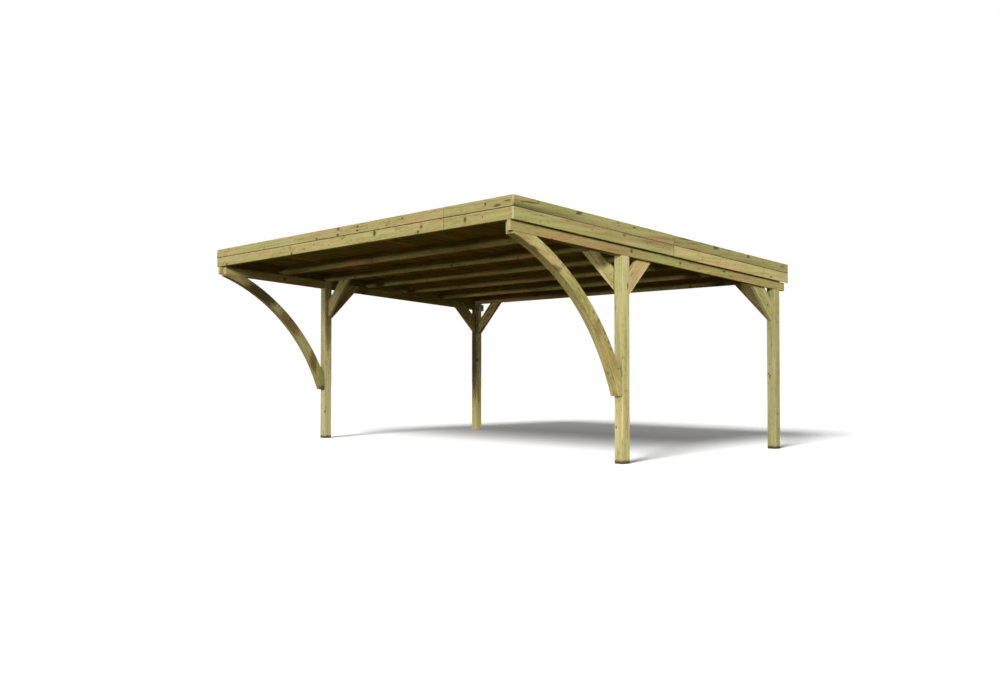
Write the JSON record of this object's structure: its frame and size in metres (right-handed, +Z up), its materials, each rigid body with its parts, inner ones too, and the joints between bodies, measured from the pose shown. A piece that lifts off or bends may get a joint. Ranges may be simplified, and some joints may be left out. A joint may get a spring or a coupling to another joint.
{
  "type": "double carport",
  "caption": "Open double carport in pressure-treated softwood with a flat roof that falls to the back, knee braces on its posts and two arches at the entrance.",
  "frame": {"origin": "ground level, in the middle of the roof's outline seen from above", "axes": "+X to the right across the entrance, +Y from the entrance to the back, +Z up"},
  "size_m": [5.85, 4.89, 2.645],
  "materials": {
    "post_timber": "planed pressure-treated softwood, green-tan",
    "beam_timber": "planed pressure-treated softwood, green-tan",
    "arch_timber": "planed pressure-treated softwood, curved",
    "brace_timber": "planed pressure-treated softwood",
    "rafter_timber": "planed pressure-treated softwood",
    "fascia_board": "planed pressure-treated boards",
    "roof_boarding": "planed boarding, tongue and groove",
    "roofing_sheet": "matt rubber roofing sheet"
  },
  "bodies": {
    "root": {"front_left_post": "post_timber", "front_right_post": "post_timber", "back_left_post": "post_timber", "back_right_post": "post_timber", "left_beam": "beam_timber", "right_beam": "beam_timber", "left_arch_plank": "beam_timber", "right_arch_plank": "beam_timber", "left_arch": "arch_timber", "right_arch": "arch_timber", "front_left_side_brace": "brace_timber", "front_right_side_brace": "brace_timber", "back_left_side_brace": "brace_timber", "back_right_side_brace": "brace_timber", "front_left_cross_brace": "brace_timber", "front_right_cross_brace": "brace_timber", "back_left_cross_brace": "brace_timber", "back_right_cross_brace": "brace_timber", "front_edge_rafter": "rafter_timber", "front_bay_rafter": "rafter_timber", "front_post_rafter": "rafter_timber", "bay_rafters": "rafter_timber", "back_post_rafter": "rafter_timber", "back_edge_rafter": "rafter_timber", "front_upper_fascia": "fascia_board", "front_lower_fascia": "fascia_board", "back_upper_fascia": "fascia_board", "back_lower_fascia": "fascia_board", "left_upper_front_board": "fascia_board", "left_upper_back_board": "fascia_board", "left_lower_front_board": "fascia_board", "left_lower_back_board": "fascia_board", "right_upper_front_board": "fascia_board", "right_upper_back_board": "fascia_board", "right_lower_front_board": "fascia_board", "right_lower_back_board": "fascia_board", "roof_deck": "roof_boarding", "roof_sheet": "roofing_sheet"}
  },
  "joints": []
}
